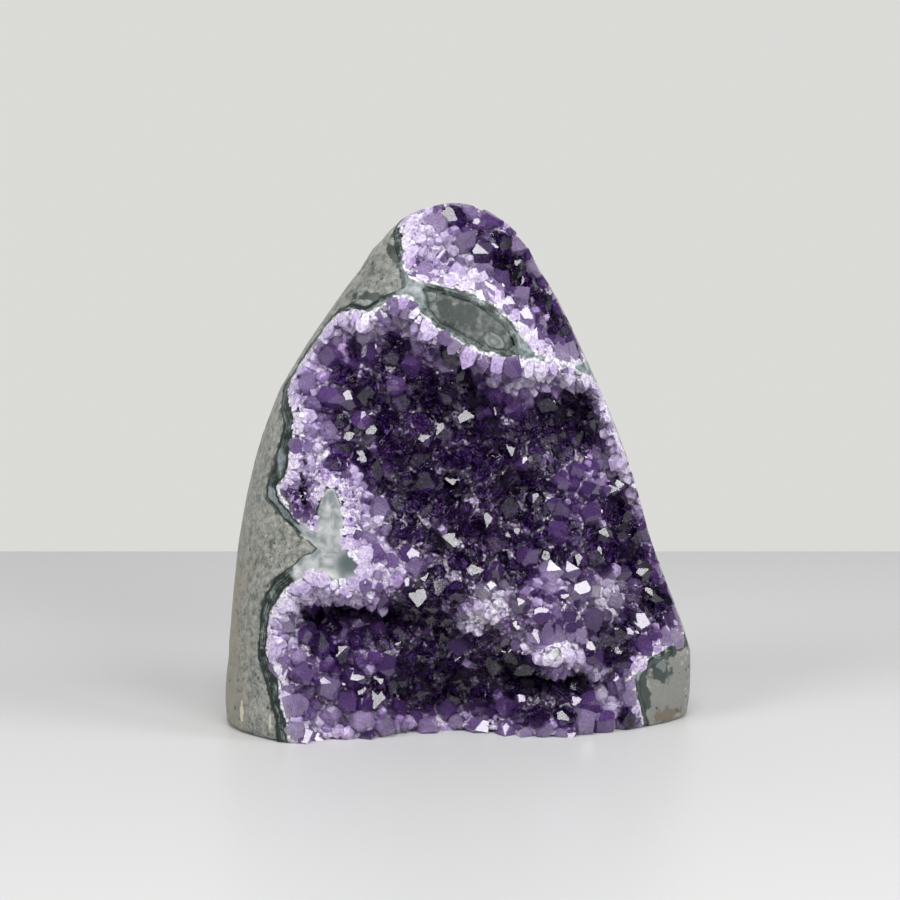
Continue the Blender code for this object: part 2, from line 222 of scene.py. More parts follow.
def field(piece, name, values):
    """Stores one number or colour for each point of the piece, for its material to read."""
    values = np.asarray(values, dtype=np.float32)
    kind = "FLOAT" if values.ndim == 1 else "FLOAT_COLOR"
    layer = piece.data.attributes.new(name, kind, "POINT")
    layer.data.foreach_set("value" if values.ndim == 1 else "color", values.ravel())


def gaps(piece, surface):
    """Distance from each point of the piece to this surface, in millimetres."""
    return [surface.find_nearest(v.co)[3] / MM for v in piece.data.vertices]


rock_bm = merged("basalt_matrix")
mark_ground(rock_bm)
refined(rock_bm, ROCK_EDGE, 1)
laid_on_skin(rock_bm, rock_relief)
rock = piece_from(rock_bm, "basalt_rock")
rock.data.shade_smooth()
rock.data.set_sharp_from_angle(angle=CREASE)
field(rock, "to_agate", gaps(rock, BVHTree.FromBMesh(merged("agate_lining"))))


def shader_group(name, inputs, outputs):
    """A node group with these inputs, as (name, kind, value), and outputs, as (name, kind)."""
    group = bpy.data.node_groups.new(name, "ShaderNodeTree")
    for label, kind, value in inputs:
        socket = group.interface.new_socket(label, in_out="INPUT", socket_type=kind)
        if value is not None:
            socket.default_value = value
    for label, kind in outputs:
        group.interface.new_socket(label, in_out="OUTPUT", socket_type=kind)
    return group, group.nodes.new("NodeGroupInput"), group.nodes.new("NodeGroupOutput")


def put(tree, kind, links=(), **settings):
    """Adds a node with these settings, and links its inputs, given as (input, source or value)."""
    node = tree.nodes.new(kind)
    for key, value in settings.items():
        setattr(node, key, value)
    for socket, source in links:
        if isinstance(source, bpy.types.NodeSocket):
            tree.links.new(source, node.inputs[socket])
        else:
            node.inputs[socket].default_value = source
    return node


def ramp(tree, source, stops):
    """Colours along a value, given as (position, (r, g, b))."""
    node = put(tree, "ShaderNodeValToRGB", [("Fac", source)])
    elements = node.color_ramp.elements
    while len(elements) < len(stops):
        elements.new(1.0)
    for element, (position, colour) in zip(elements, stops):
        element.position = position
        element.color = (*colour, 1.0)
    return node.outputs["Color"]


def mixed(tree, share, first, second):
    """One colour laid over another by a share."""
    node = put(tree, "ShaderNodeMix", data_type="RGBA")
    for socket, source in ((0, share), (6, first), (7, second)):
        if isinstance(source, bpy.types.NodeSocket):
            tree.links.new(source, node.inputs[socket])
        else:
            node.inputs[socket].default_value = source if socket == 0 else (*source, 1.0)
    return node.outputs[2]


def maths(tree, operation, first, second=None, third=None):
    """A Math node on values or sockets."""
    node = put(tree, "ShaderNodeMath", operation=operation)
    for index, source in enumerate((first, second, third)):
        if source is None:
            continue
        if isinstance(source, bpy.types.NodeSocket):
            tree.links.new(source, node.inputs[index])
        else:
            node.inputs[index].default_value = source
    return node.outputs[0]


def mapped(tree, source, from_low, from_high, to_low=0.0, to_high=1.0):
    """A value carried from one range to another, and held in it."""
    links = [("Value", source), ("From Min", from_low), ("From Max", from_high), ("To Min", to_low),
             ("To Max", to_high)]
    return put(tree, "ShaderNodeMapRange", links, interpolation_type="SMOOTHSTEP").outputs["Result"]


def noisy(tree, place, scale, detail, **finer):
    """Noise between 0 and 1, with its Roughness or Distortion where that is given."""
    links = [("Vector", place), ("Scale", scale), ("Detail", detail), *finer.items()]
    return put(tree, "ShaderNodeTexNoise", links).outputs["Fac"]


def wavered(tree, value, waves, amount):
    """A value made uneven by noise, so that what follows from it has a ragged edge."""
    wave = maths(tree, "MULTIPLY", maths(tree, "SUBTRACT", waves, 0.5), amount)
    return maths(tree, "ADD", value, wave)


def bumped(tree, shader, height, strength, distance):
    """Gives the surface a fine relief from this height."""
    bump = put(tree, "ShaderNodeBump", [("Height", height), ("Strength", strength), ("Distance", distance)])
    tree.links.new(bump.outputs["Normal"], shader.inputs["Normal"])


def stored(tree, name):
    """The number that each point of the piece stores under this name."""
    return put(tree, "ShaderNodeAttribute", attribute_name=name).outputs["Fac"]


def grain_group():
    """Mineral grain: a fine mottling, sparse specks, and the height that both give the surface."""
    group, given, out = shader_group(
        "mineral_grain",
        [("Vector", "NodeSocketVector", None), ("Grain Scale", "NodeSocketFloat", 900.0),
         ("Speck Scale", "NodeSocketFloat", 420.0), ("Speck Size", "NodeSocketFloat", 0.2)],
        [("Mottle", "NodeSocketFloat"), ("Speck", "NodeSocketFloat"), ("Height", "NodeSocketFloat")])
    place = given.outputs["Vector"]
    mottle = noisy(group, place, given.outputs["Grain Scale"], 6.0, Roughness=0.68)
    cells = put(group, "ShaderNodeTexVoronoi", [
        ("Vector", place), ("Scale", given.outputs["Speck Scale"]), ("Randomness", 1.0)])
    inside = maths(group, "LESS_THAN", cells.outputs["Distance"], given.outputs["Speck Size"])
    chosen = maths(group, "GREATER_THAN", noisy(group, place, 260.0, 1.0), 0.55)
    speck = maths(group, "MULTIPLY", inside, chosen)
    height = maths(group, "SUBTRACT", mottle, maths(group, "MULTIPLY", speck, 0.8))
    group.links.new(mottle, out.inputs["Mottle"])
    group.links.new(speck, out.inputs["Speck"])
    group.links.new(height, out.inputs["Height"])
    return group


mineral_grain = grain_group()


def material(name):
    """A new node material, as (material, tree, principled node, object coordinates)."""
    made = bpy.data.materials.new(name)
    made.use_nodes = True
    tree = made.node_tree
    place = put(tree, "ShaderNodeTexCoord").outputs["Object"]
    return made, tree, tree.nodes["Principled BSDF"], place


def within(tree, place, middle, reach, turn=0.0):
    """Distance from the middle of an oval as a share of its reach, both in millimetres.

    The oval is turned by these degrees in the plane of the front.
    """
    links = [("Vector", place), ("Location", Vector(middle) * MM), ("Rotation", (0, math.radians(-turn), 0)),
             ("Scale", Vector(reach) * MM)]
    local = put(tree, "ShaderNodeMapping", links, vector_type="TEXTURE").outputs["Vector"]
    return put(tree, "ShaderNodeVectorMath", [(0, local)], operation="LENGTH").outputs["Value"]


DARK_MOSS = (0.034, 0.046, 0.042)
# The ringed nodules of the island, as (middle, reach along x, y and z, turn in degrees), in millimetres
NODULES = [((-7.1, -17, 116.7), (1.9, 9, 1.7), 20), ((9.7, -20, 104.6), (4.6, 9, 2.8), -33)]
# Places of another colour, given the same way and with their colour
PATCHES = [
    ((57, -12, 8), (10, 22, 13), 0, (0.205, 0.210, 0.193)),
    ((49.6, -20, 10), (2.0, 20, 9.5), 4, DARK_MOSS),
    ((54.0, -12, 20.2), (10.5, 22, 3.6), 24, DARK_MOSS),
    ((1.0, -16, 112.0), (5.4, 12, 2.8), -30, DARK_MOSS),
    ((-4.0, -16, 113.0), (3.4, 12, 1.5), -50, DARK_MOSS),
    ((12.5, -20, 106.5), (2.6, 9, 0.8), -45, DARK_MOSS),
    ((-24, -15, 116.2), (4.5, 9, 1.5), 5, DARK_MOSS),
    ((-17.6, -12, 127.5), (1.6, 9, 3.2), 35, DARK_MOSS),
    ((57.0, -12, 2.6), (4.6, 14, 2.0), 0, (0.15, 0.125, 0.09)),
    ((54.6, -12, 15.6), (2.9, 12, 5.0), 25, DARK_MOSS),
    ((54.8, -12, 16.8), (1.3, 12, 2.4), 20, (0.17, 0.20, 0.195)),
    ((-57.6, -22, 5.4), (0.6, 6, 3.6), 0, (0.60, 0.57, 0.44)),
    ((-49.5, -29, 5.2), (0.5, 6, 2.6), 0, (0.55, 0.53, 0.42)),
]
POLISHED_SPECULAR = 0.3  # of the rock and the agate, whose ground faces shine softly


def plain_basalt(tree, place, grain, broad, ragged):
    """The colour of the rock itself: mottled, finely cracked, and brown where the left flank weathered."""
    stone = ramp(tree, grain.outputs["Mottle"], [
        (0.38, (0.095, 0.100, 0.090)), (0.47, (0.225, 0.231, 0.211)),
        (0.54, (0.290, 0.295, 0.270)), (0.64, (0.440, 0.444, 0.406))])
    veined = ramp(tree, ragged, [
        (0.38, (0.070, 0.077, 0.068)), (0.46, (0.210, 0.216, 0.195)), (0.60, (0.350, 0.352, 0.320))])
    stone = mixed(tree, mapped(tree, broad, 0.35, 0.70, 0.25, 0.65), stone, veined)
    cracks = noisy(tree, place, 150.0, 5.0, Distortion=0.8)
    crack = maths(tree, "ABSOLUTE", maths(tree, "SUBTRACT", cracks, 0.5))
    stone = mixed(tree, mapped(tree, crack, 0.010, 0.001, 0.0, 0.6), stone, (0.060, 0.066, 0.058))
    apart = put(tree, "ShaderNodeSeparateXYZ", [("Vector", place)])
    weathered = maths(tree, "ADD", maths(tree, "MULTIPLY", apart.outputs["X"], -1.0),
                      maths(tree, "MULTIPLY", broad, 0.008))
    return mixed(tree, mapped(tree, weathered, 0.058, 0.064, 0.0, 0.6), stone, (0.265, 0.243, 0.185))


def island_basalt(tree, place, ragged, stone):
    """The rock of the oval island and of the wedge above it: darker, with dark green blotches and nodules."""
    apart = put(tree, "ShaderNodeSeparateXYZ", [("Vector", place)])
    blotched = ramp(tree, ragged, [
        (0.38, (0.024, 0.033, 0.030)), (0.46, (0.052, 0.061, 0.057)),
        (0.56, (0.088, 0.097, 0.091)), (0.68, (0.170, 0.180, 0.171))])
    high = mapped(tree, apart.outputs["Z"], 0.094, 0.104)
    in_front = mapped(tree, apart.outputs["Y"], -0.004, -0.008)
    on_right = mapped(tree, apart.outputs["X"], -0.014, -0.010, 0.35, 0.95)
    covered = maths(tree, "MULTIPLY", maths(tree, "MULTIPLY", high, in_front), on_right)
    stone = mixed(tree, covered, stone, blotched)
    for middle, reach, turn in NODULES:
        share = wavered(tree, within(tree, place, middle, reach, turn), ragged, 0.45)
        rings = ramp(tree, share, [
            (0.0, (0.15, 0.170, 0.165)), (0.30, (0.11, 0.125, 0.12)), (0.42, (0.20, 0.22, 0.21)),
            (0.56, (0.09, 0.105, 0.10)), (0.72, (0.19, 0.21, 0.20)), (0.86, DARK_MOSS),
            (1.0, (0.07, 0.085, 0.08))])
        stone = mixed(tree, mapped(tree, share, 1.0, 0.88), stone, rings)
    return stone


def basalt_material():
    """Semi-matt ground basalt, with pits and a dark line where it meets the agate."""
    made, tree, shader, place = material("ground_basalt")
    grain = put(tree, "ShaderNodeGroup", [("Vector", place), ("Speck Size", 0.24)], node_tree=mineral_grain)
    broad = noisy(tree, place, 90.0, 3.0)
    ragged = noisy(tree, place, 420.0, 4.0)
    stone = plain_basalt(tree, place, grain, broad, ragged)
    stone = island_basalt(tree, place, ragged, stone)
    for middle, reach, turn, colour in PATCHES:
        share = wavered(tree, within(tree, place, middle, reach, turn), ragged, 2.2)
        stone = mixed(tree, mapped(tree, share, 1.05, 0.75, 0.0, 0.9), stone, colour)
    pitted = maths(tree, "MULTIPLY", grain.outputs["Speck"], 0.8)
    stone = mixed(tree, pitted, stone, (0.055, 0.062, 0.055))
    contact = wavered(tree, stored(tree, "to_agate"), ragged, 3.0)
    stone = mixed(tree, mapped(tree, contact, 0.85, 0.50, 0.0, 0.8), stone, (0.032, 0.043, 0.039))
    tree.links.new(stone, shader.inputs["Base Color"])
    tree.links.new(mapped(tree, grain.outputs["Mottle"], 0.3, 0.7, 0.34, 0.58), shader.inputs["Roughness"])
    shader.inputs["Specular IOR Level"].default_value = POLISHED_SPECULAR
    bumped(tree, shader, grain.outputs["Height"], 0.35, 0.25 * MM)
    return made


rock.data.materials.clear()
rock.data.materials.append(basalt_material())
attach(rock, "root")
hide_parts("basalt_matrix")

# ---- Agate lining ----
# A band of agate that grew on the rock before the crystals: a dark green skin against the basalt, then
# blue-grey chalcedony, milk white next to the quartz. Where the ground face cuts it, it shows polished.
AGATE_EDGE = 0.9 * MM
TOUCHING = 0.5 * MM  # surfaces nearer than this are one contact


def agate_relief(near, _):
    """How far the ground agate lies under the skin, which is next to nothing."""
    return 0.02 * MM * (1 + hills(near, 4 * MM, 2.0))


rock_tree = BVHTree.FromBMesh(merged("basalt_matrix"))
crystal_tree = BVHTree.FromBMesh(merged("amethyst_main", "amethyst_upper"))
agate_bm = merged("agate_lining")
mark_ground(agate_bm)
refined(agate_bm, AGATE_EDGE, 1)
laid_on_skin(agate_bm, agate_relief)
for vert in agate_bm.verts:
    wall, _, _, gap = rock_tree.find_nearest(vert.co)
    if gap < TOUCHING:
        vert.co = wall
agate = piece_from(agate_bm, "agate_band")
agate.data.shade_smooth()
agate.data.set_sharp_from_angle(angle=CREASE)
# Coloured places of the agate, as (x, z, half width, half height, turn in degrees, strength), in millimetres
MILK = [
    (-34, 59, 7.0, 15.0, 6, 1.4), (-31.5, 46.5, 11.0, 7.0, 0, 1.4), (25.5, 23, 4, 4, 0, 0.8),
    (-11.5, 118.0, 3.2, 2.2, -30, 0.5),
]
INK = [(-28.4, 47.8, 4.0, 3.6, 0, 1.0)]
SKY = [
    (-46.6, 73.5, 1.6, 3.2, 5, 0.6), (-49, 63.5, 4.2, 2.4, -25, 1.2), (-42.8, 57.2, 6.0, 1.5, -52, 1.0),
    (-12, 117.5, 5.0, 3.4, -30, 1.2), (-16, 122, 2.0, 6.0, 30, 0.9), (-46, 36, 1.6, 3, 0, 0.7),
    (48.8, 16, 1.6, 6, 0, 0.5),
]
MOSS = [
    (-45.2, 88, 1.8, 3.2, 8, 1.5), (-46.6, 80, 1.5, 2.4, 8, 1.4), (-45.2, 41, 2.8, 3.4, 0, 1.3),
    (-49.6, 27, 1.2, 5, 0, 1.0), (-48.4, 18.8, 2.2, 2.8, 0, 1.2), (-45.6, 8, 1.8, 4.5, 8, 1.2),
    (-21, 116.5, 3.6, 1.6, 5, 1.2), (-47.0, 78.5, 2.0, 4.0, 5, 1.2), (-49.0, 69, 1.6, 4.0, 5, 1.0),
    (-40, 50, 3.4, 0.9, 50, 1.2), (49, 8, 2.0, 6, 10, 1.0),
]
# Thin pale lines that follow the rock, as (how far from it they start, strength), in millimetres
PALE_LINES = [(1.05, 0.45), (1.75, 0.32), (2.7, 0.28)]


def spot(x, z, ovals):
    """Strength of the soft ovals at points of the front, added up, with x and z in millimetres."""
    total = np.zeros_like(x)
    for middle_x, middle_z, wide, high, turn, strength in ovals:
        c, s = math.cos(math.radians(turn)), math.sin(math.radians(turn))
        along = ((x - middle_x) * c + (z - middle_z) * s) / wide
        over = ((z - middle_z) * c - (x - middle_x) * s) / high
        total += strength * np.exp(-((along**2 + over**2) ** 1.5))
    return total


agate_points = np.array([v.co for v in agate.data.vertices]) / MM
x, z = agate_points[:, 0], agate_points[:, 2]
field(agate, "from_rock", gaps(agate, rock_tree))
field(agate, "from_quartz", gaps(agate, crystal_tree))
field(agate, "patches", np.stack([spot(x, z, ovals) for ovals in (MILK, INK, SKY, MOSS)], axis=1))


def banded_body(tree, place, wisps, blotch, outline):
    """The agate away from the quartz: dark green, mossy or sky grey, with pale lines and a dark skin."""
    patches = put(tree, "ShaderNodeAttribute", attribute_name="patches")
    sky = put(tree, "ShaderNodeSeparateColor", [("Color", patches.outputs["Color"])]).outputs["Blue"]
    apart = put(tree, "ShaderNodeSeparateXYZ", [("Vector", place)])
    dark_side = ramp(tree, blotch, [
        (0.36, (0.010, 0.016, 0.014)), (0.47, (0.022, 0.031, 0.028)),
        (0.56, (0.078, 0.098, 0.092)), (0.66, (0.250, 0.275, 0.260))])
    pale_side = ramp(tree, blotch, [
        (0.34, (0.055, 0.075, 0.075)), (0.46, (0.150, 0.185, 0.190)),
        (0.57, (0.300, 0.335, 0.345)), (0.70, (0.470, 0.490, 0.500))])
    sky_grey = ramp(tree, blotch, [(0.4, (0.085, 0.108, 0.112)), (0.6, (0.240, 0.275, 0.285))])
    seam = maths(tree, "MULTIPLY", mapped(tree, apart.outputs["Z"], 0.090, 0.094),
                 mapped(tree, apart.outputs["X"], 0.014, 0.018))
    body = mixed(tree, seam, dark_side, pale_side)
    mossy = mapped(tree, wavered(tree, patches.outputs["Alpha"], wisps, 1.4), 0.25, 0.55)
    body = mixed(tree, maths(tree, "MULTIPLY", mossy, 0.75), body, (0.012, 0.019, 0.017))
    body = mixed(tree, mapped(tree, wavered(tree, sky, wisps, 0.8), 0.25, 0.55), body, sky_grey)
    edge = wavered(tree, stored(tree, "from_rock"), wisps, 1.6)
    unbroken = mapped(tree, blotch, 0.42, 0.54)
    for starts, strength in PALE_LINES:
        line = maths(tree, "MULTIPLY", mapped(tree, edge, starts, starts + 0.12),
                     mapped(tree, edge, starts + 0.34, starts + 0.2))
        line = maths(tree, "MULTIPLY", maths(tree, "MULTIPLY", line, unbroken), strength)
        body = mixed(tree, line, body, (0.330, 0.370, 0.360))
    return mixed(tree, mapped(tree, edge, 0.75, 0.40), body, outline)


def sugary_edge(tree, place, wisps, outline, body):
    """Where the agate meets the quartz: granular and pale, with a dark line before it on the left."""
    apart = put(tree, "ShaderNodeSeparateXYZ", [("Vector", place)])
    cells = put(tree, "ShaderNodeTexVoronoi", [("Vector", place), ("Scale", 1500.0)])
    cell = put(tree, "ShaderNodeSeparateColor", [("Color", cells.outputs["Color"])]).outputs["Red"]
    granular = ramp(tree, cell, [
        (0.0, (0.16, 0.15, 0.20)), (0.35, (0.42, 0.40, 0.48)), (0.7, (0.70, 0.68, 0.74)),
        (1.0, (0.82, 0.81, 0.84))])
    edge = wavered(tree, stored(tree, "from_quartz"), wisps, 3.0)
    on_left = mapped(tree, apart.outputs["X"], -0.022, -0.030)
    body = mixed(tree, maths(tree, "MULTIPLY", mapped(tree, edge, 1.9, 1.5), on_left), body, outline)
    return mixed(tree, mapped(tree, edge, 1.35, 0.85), body, granular)


def chalcedony(tree, place, wisps, body):
    """The cloudy drop, with its whitest place below and the ink-dark patch in it."""
    patches = put(tree, "ShaderNodeAttribute", attribute_name="patches").outputs["Color"]
    milk, ink, _ = put(tree, "ShaderNodeSeparateColor", [("Color", patches)]).outputs
    cloudy = ramp(tree, wisps, [
        (0.38, (0.200, 0.225, 0.230)), (0.48, (0.345, 0.360, 0.365)),
        (0.57, (0.450, 0.455, 0.465)), (0.68, (0.640, 0.640, 0.655))])
    whitest = mapped(tree, within(tree, place, (-35.5, -28, 43.4), (5.5, 20, 3.6)), 1.1, 0.4)
    cloudy = mixed(tree, whitest, cloudy, (0.620, 0.640, 0.610))
    body = mixed(tree, mapped(tree, wavered(tree, milk, wisps, 0.6), 0.25, 0.55), body, cloudy)
    return mixed(tree, mapped(tree, wavered(tree, ink, wisps, 0.7), 0.0, 1.1), body, (0.082, 0.108, 0.110))


def agate_material():
    """Polished agate, from its dark skin on the rock to the sugary edge of the quartz."""
    made, tree, shader, place = material("banded_agate")
    wisps = noisy(tree, place, 260.0, 5.0, Distortion=0.4)
    blotch = noisy(tree, place, 420.0, 6.0, Roughness=0.68)
    apart = put(tree, "ShaderNodeSeparateXYZ", [("Vector", place)])
    outline = mixed(tree, mapped(tree, apart.outputs["X"], -0.022, -0.014), (0.016, 0.024, 0.022),
                    (0.062, 0.080, 0.075))
    body = banded_body(tree, place, wisps, blotch, outline)
    body = sugary_edge(tree, place, wisps, outline, body)
    body = chalcedony(tree, place, wisps, body)
    tree.links.new(body, shader.inputs["Base Color"])
    shader.inputs["Roughness"].default_value = 0.32
    shader.inputs["Specular IOR Level"].default_value = POLISHED_SPECULAR
    return made


agate.data.materials.clear()
agate.data.materials.append(agate_material())
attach(agate, "root")
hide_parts("agate_lining")

# ---- Quartz root layer ----
# Fine-grained quartz that the crystals root in, about two millimetres thick on the agate. It is milk white
# and sugary at the rims and violet in the pockets, where it is painted nearly black as shade so that the
# gaps between the crystals look black.
ROOT_THICKNESS = 2.1 * MM
ROOT_EDGE = 1.15 * MM  # longest edge of its faces
ROOT_PROUD = 0.03 * MM  # how far it may stand out of the ground skin
ROOT_SKIRT = 1.2 * MM  # how far its rim runs in under the skin
# Pale places of the druse on the front, as (x, z, half width, half height, turn in degrees, strength)
PALE = [
    (-4, 126, 13, 7.0, -42, 0.56), (-9, 132, 7, 6, 0, 0.3), (4, 118.5, 8, 5, -42, 0.38),
    (17, 107, 12.5, 5.0, -56, 0.42), (18, 95, 14.5, 5.4, -8, 0.9), (18, 90.5, 6, 5, 0, 0.45),
    (-8, 104, 9.5, 4.0, -50, 0.66), (-23, 109.5, 14, 4.2, 0, 0.75), (-37.5, 99.5, 10.5, 4.0, 55, 0.66),
    (-28, 102, 6, 5, 0, 0.25), (-40.5, 81, 6.2, 15, 0, 0.85), (-37, 73.5, 5.5, 7, 0, 0.45),
    (-28.5, 65, 4.0, 7, 8, 0.7), (-24.5, 52, 5.0, 8, 10, 0.80), (-19.5, 45.5, 8, 4, -15, 0.75),
    (-36, 42, 11, 4.4, 0, 0.95), (-45, 38, 5.5, 4.4, 0, 0.60), (-28, 38.5, 8.5, 3, -8, 0.5),
    (-45.5, 26, 4.6, 13, 0, 0.90), (-44, 12, 4.8, 9, 5, 0.80), (-42, 5, 6.5, 4, 0, 0.60),
    (-26, 5, 11, 3.2, 0, 0.40), (0, 5, 14, 2.2, 0, 0.18), (7, 33, 7.5, 6.5, 0, 0.66),
    (18, 36, 6.5, 4.2, 0, 0.38), (26, 40, 6.5, 3.6, -10, 0.52), (39, 34, 7.5, 5.2, -15, 0.60),
    (22, 25.5, 6.5, 3.8, -15, 0.85), (29, 20.5, 7.5, 3.2, -25, 0.85), (38, 15, 6.5, 3, -30, 0.38),
    (42, 12, 5, 6.5, 0, 0.66), (40, 7, 6, 3.8, 0, 0.62), (40, 77, 5.5, 14, 14, 0.55),
    (38, 67, 4.5, 5.5, 0, 0.35), (28, 67, 3.2, 3.2, 0, 0.40), (28, 56, 5.5, 7.5, 0, 0.24),
    (-30, 16, 15, 12, 0, 0.22), (-30, 31, 13, 4, 0, 0.22), (-26, 96, 15, 11, 20, 0.04),
    (8, 10, 15, 8, 0, 0.17), (2, 62, 14, 10, 0, -0.03), (43, 74, 4, 20, 14, 0.40),
    (33, 12, 9, 6, -10, 0.14), (36, 56, 7, 12, 10, 0.12), (4, 132, 9, 8, 0, 0.12),
    (0, 12, 20, 12, 0, 0.08),
]
# Places of the druse made darker, given as the pale places are: painted shade in the slot and in the pockets
# that lie in shadow
PAINTED_SHADE_PLACES = [
    (21, 13, 12, 3.8, -8, 0.6), (27, 82, 7, 7, 0, 0.6), (0, 14, 16, 6, 0, 0.4), (46, 50, 5, 10, 15, 0.2),
]


def paleness(points):
    """From 0, deep violet, to 1, white, at each of these points of the druse, with painted shade taken off in
    the shadowed places.
    """
    points = np.asarray(points, dtype=float).reshape(-1, 3)
    depths = np.array([skin_at(Vector(p))[2] for p in points]) / MM
    x, z = points[:, 0] / MM, points[:, 2] / MM
    rim = np.clip((4.5 - depths) / 4.0, 0, 1)
    patches = np.array([hills(Vector(p), 6 * MM, 4.0) + 0.7 * hills(Vector(p), 2.4 * MM, 6.0)
                        for p in points])
    smooth = 0.08 + 0.45 * rim + spot(x, z, PALE) - spot(x, z, PAINTED_SHADE_PLACES)
    return np.clip(smooth + (0.14 + 0.4 * np.clip(smooth, 0, 0.5)) * patches, 0, 1)


wall_bm = merged("agate_lining")
beyond = [f for f in wall_bm.faces if crystal_tree.find_nearest(f.calc_center_median())[3] >= TOUCHING]
bmesh.ops.delete(wall_bm, geom=beyond, context="FACES")
wall_bm.normal_update()
wall_points = np.array([[v.co for v in f.verts] for f in wall_bm.faces])
wall_normals = np.array([[v.normal for v in f.verts] for f in wall_bm.faces])
wall_areas = np.array([f.calc_area() for f in wall_bm.faces])

refined(wall_bm, ROOT_EDGE)
wall_bm.normal_update()
wall_bm.verts.ensure_lookup_table()
feet = [(v.co.copy(), v.normal.copy()) for v in wall_bm.verts]
pale_at_foot = paleness([foot for foot, _ in feet])
for vert, (foot, normal), pale in zip(wall_bm.verts, feet, pale_at_foot):
    lumps = 0.35 * hills(foot, 2.4 * MM, 7.0) + (0.1 + 0.15 * pale) * hills(foot, 0.9 * MM, 8.0)
    rise = ROOT_THICKNESS * (1.0 - 0.25 * pale) + lumps * MM
    vert.co = foot + normal * rise
    near, out, depth = skin_at(vert.co)
    if depth < -ROOT_PROUD:
        vert.co = near + out * ROOT_PROUD
edges = [e for e in wall_bm.edges if e.is_boundary]
skirt = bmesh.ops.extrude_edge_only(wall_bm, edges=edges)["geom"]
for vert in [g for g in skirt if isinstance(g, bmesh.types.BMVert)]:
    vert.co = vert.co - skin_at(vert.co)[1] * ROOT_SKIRT
roots = piece_from(wall_bm, "quartz_roots")
pale_skirt = np.ones(len(roots.data.vertices) - len(feet))
field(roots, "pale", np.concatenate([pale_at_foot, pale_skirt]))


def root_material():
    """Sugary quartz, from painted shade nearly black in the pockets through violet to white at the rims."""
    made, tree, shader, place = material("root_quartz")
    pale_share = stored(tree, "pale")
    links = [("Vector", place), ("Grain Scale", 1500.0)]
    grain = put(tree, "ShaderNodeGroup", links, node_tree=mineral_grain)
    cells = put(tree, "ShaderNodeTexVoronoi", [("Vector", place), ("Scale", 1450.0)]).outputs["Color"]
    cell = put(tree, "ShaderNodeSeparateColor", [("Color", cells)]).outputs["Red"]
    cloudy = mapped(tree, noisy(tree, place, 800.0, 5.0, Roughness=0.65), 0.36, 0.66)
    sugary = maths(tree, "ADD", maths(tree, "MULTIPLY", cell, 0.4), maths(tree, "MULTIPLY", cloudy, 0.6))
    # Painted shade: in the pockets most grains are nearly black so that the gaps between the crystals look
    # black; the palest are violet.
    pocket_violet_and_shade = ramp(tree, cell, [
        (0.0, (0.007, 0.005, 0.010)), (0.5, (0.024, 0.014, 0.036)),
        (0.8, (0.120, 0.072, 0.180)), (1.0, (0.480, 0.400, 0.570))])
    half_way = ramp(tree, sugary, [
        (0.1, (0.045, 0.025, 0.075)), (0.38, (0.120, 0.066, 0.190)),
        (0.66, (0.250, 0.160, 0.350)), (0.9, (0.620, 0.540, 0.700))])
    at_rim = ramp(tree, sugary, [
        (0.1, (0.130, 0.095, 0.190)), (0.30, (0.380, 0.310, 0.480)),
        (0.52, (0.660, 0.610, 0.720)), (0.9, (0.880, 0.865, 0.900))])
    body = mixed(tree, mapped(tree, pale_share, 0.14, 0.42), pocket_violet_and_shade, half_way)
    body = mixed(tree, mapped(tree, pale_share, 0.42, 0.72), body, at_rim)
    mottled = mapped(tree, grain.outputs["Mottle"], 0.55, 0.3, 0.0, 0.5)
    body = mixed(tree, mottled, body, (0.05, 0.035, 0.07))
    tree.links.new(body, shader.inputs["Base Color"])
    shader.inputs["Roughness"].default_value = 0.22
    facets = put(tree, "ShaderNodeVectorMath", [(0, cells)], operation="LENGTH").outputs["Value"]
    bumped(tree, shader, facets, 0.7, 0.4 * MM)
    return made


roots.data.materials.append(root_material())
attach(roots, "root")

# ---- Amethyst crystals ----
# Short six-sided quartz points that stand square to the wall and crowd each other. They were seeded at
# random, so the large ones stand where they started first, and those at the rim are ground off flush.
CANDIDATES = 90000
TEMPLATES = 24
PRISM_RADIUS = 0.56  # of a point of unit width, as are the next two
PRISM_LENGTH = 5.0
TIP = 2.2  # where the pyramid's faces meet on the axis, before each is shifted a little
USUAL_WIDTH = 1.95 * MM
WIDTH_SPREAD = 0.42
NARROWEST = 0.9 * MM
WIDEST = 6.4 * MM
USUAL_REACH = 2.1 * MM  # how far a point stands off the wall, and how much more for its width
REACH_FOR_WIDTH = 0.70
LEAN = 0.36  # spread of the points away from square to the wall
CROWDING = 0.40  # least distance between two points, as a share of their widths added up
STEEP = math.radians(38.2)  # elevation of a pyramid face's normal above the crystal's cross-section


def crystal_template(rng):
    """A point of unit width with its root at z = 0: (points, triangles, height)."""
    bm = bmesh.new()
    bmesh.ops.create_cone(bm, cap_ends=True, segments=6, radius1=PRISM_RADIUS, radius2=PRISM_RADIUS,
                          depth=PRISM_LENGTH)
    bmesh.ops.translate(bm, verts=bm.verts, vec=(0, 0, PRISM_LENGTH / 2))
    lag = rng.choice([0.03, 0.12, 0.3])
    for side in range(6):
        turn = math.radians(60 * side + 30)
        level = math.cos(STEEP)
        outward = Vector((math.cos(turn) * level, math.sin(turn) * level, math.sin(STEEP)))
        height = TIP + rng.normal(0, 0.07) + (lag * rng.uniform(0.5, 1.3) if side % 2 else 0.0)
        cut_flat(bm, Vector((0, 0, height)), outward)
    bmesh.ops.triangulate(bm, faces=bm.faces)
    points = np.array([v.co for v in bm.verts])
    bm.verts.index_update()
    corners = np.array([[v.index for v in f.verts] for f in bm.faces])
    bm.free()
    return points, corners, points[:, 2].max()


